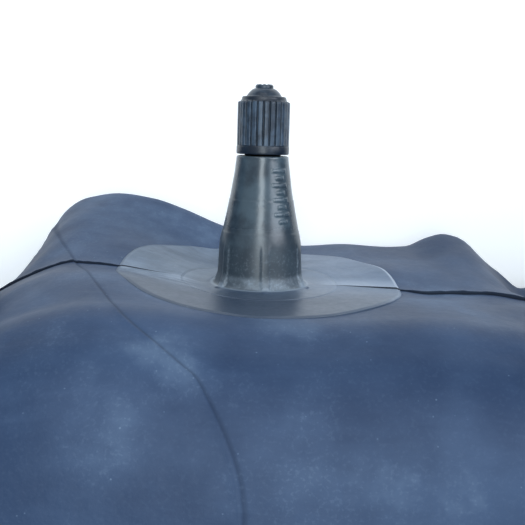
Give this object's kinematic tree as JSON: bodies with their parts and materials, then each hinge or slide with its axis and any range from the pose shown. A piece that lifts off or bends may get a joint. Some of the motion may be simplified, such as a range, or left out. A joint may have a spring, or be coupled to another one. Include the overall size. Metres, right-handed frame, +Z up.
{
  "type": "inner tube",
  "caption": "Rubber inner tube for a wheel, lying flat, with a rubber-covered straight valve on its inner wall, a screw-in valve core and a ribbed dust cap.",
  "frame": {"origin": "centre of the ring, on the floor it lies on", "axes": "+Z up along the ring's axis, +Y from the centre to the valve's place on the inner wall; the valve points along -Y"},
  "size_m": [0.566, 0.566, 0.1],
  "materials": {
    "tube_rubber": "soft satin butyl rubber with a trace of talc",
    "patch_rubber": "matte buffed rubber",
    "stem_rubber": "satin moulded rubber",
    "brass": "turned",
    "seal": "matte",
    "spring_steel": "drawn wire",
    "cap_plastic": "moulded"
  },
  "bodies": {
    "tube": {"tube_body": "tube_rubber", "valve_patch": "patch_rubber", "stem_cover": "stem_rubber", "valve_stem": "brass"},
    "cap_carrier": {"cap_liner": "seal"},
    "cap": {"cap_shell": "cap_plastic"},
    "core": {"core_barrel": "brass", "core_gasket": "seal", "core_spring": "spring_steel"},
    "plug": {"core_plug": "brass"},
    "pin": {"core_pin": "brass", "core_cup": "brass", "core_washer": "seal"}
  },
  "joints": [
    {"name": "cap_lift", "type": "slide", "parent": "tube", "child": "cap_carrier", "axis": [0, -1, 0], "range_m": [0, 0.01031]},
    {"name": "cap_turn", "type": "hinge", "parent": "cap_carrier", "child": "cap", "pos_m": [0, 0.1476, 0.05], "axis": [0, -1, 0], "range_deg": [0, 4680]},
    {"name": "core_lift", "type": "slide", "parent": "tube", "child": "core", "axis": [0, -1, 0], "range_m": [0, 0.00212]},
    {"name": "core_turn", "type": "hinge", "parent": "core", "child": "plug", "pos_m": [0, 0.1506, 0.05], "axis": [0, -1, 0], "range_deg": [0, 1080]},
    {"name": "pin_press", "type": "slide", "parent": "core", "child": "pin", "axis": [0, 1, 0], "range_m": [0, 0.0012], "stiffness_N_per_m": 1000, "deforming": ["core_spring"]}
  ],
  "couplings": [
    {"joint": "cap_turn", "follows": "cap_lift", "rad_per_m": 7915.8},
    {"joint": "core_turn", "follows": "core_lift", "rad_per_m": 8905.2}
  ]
}
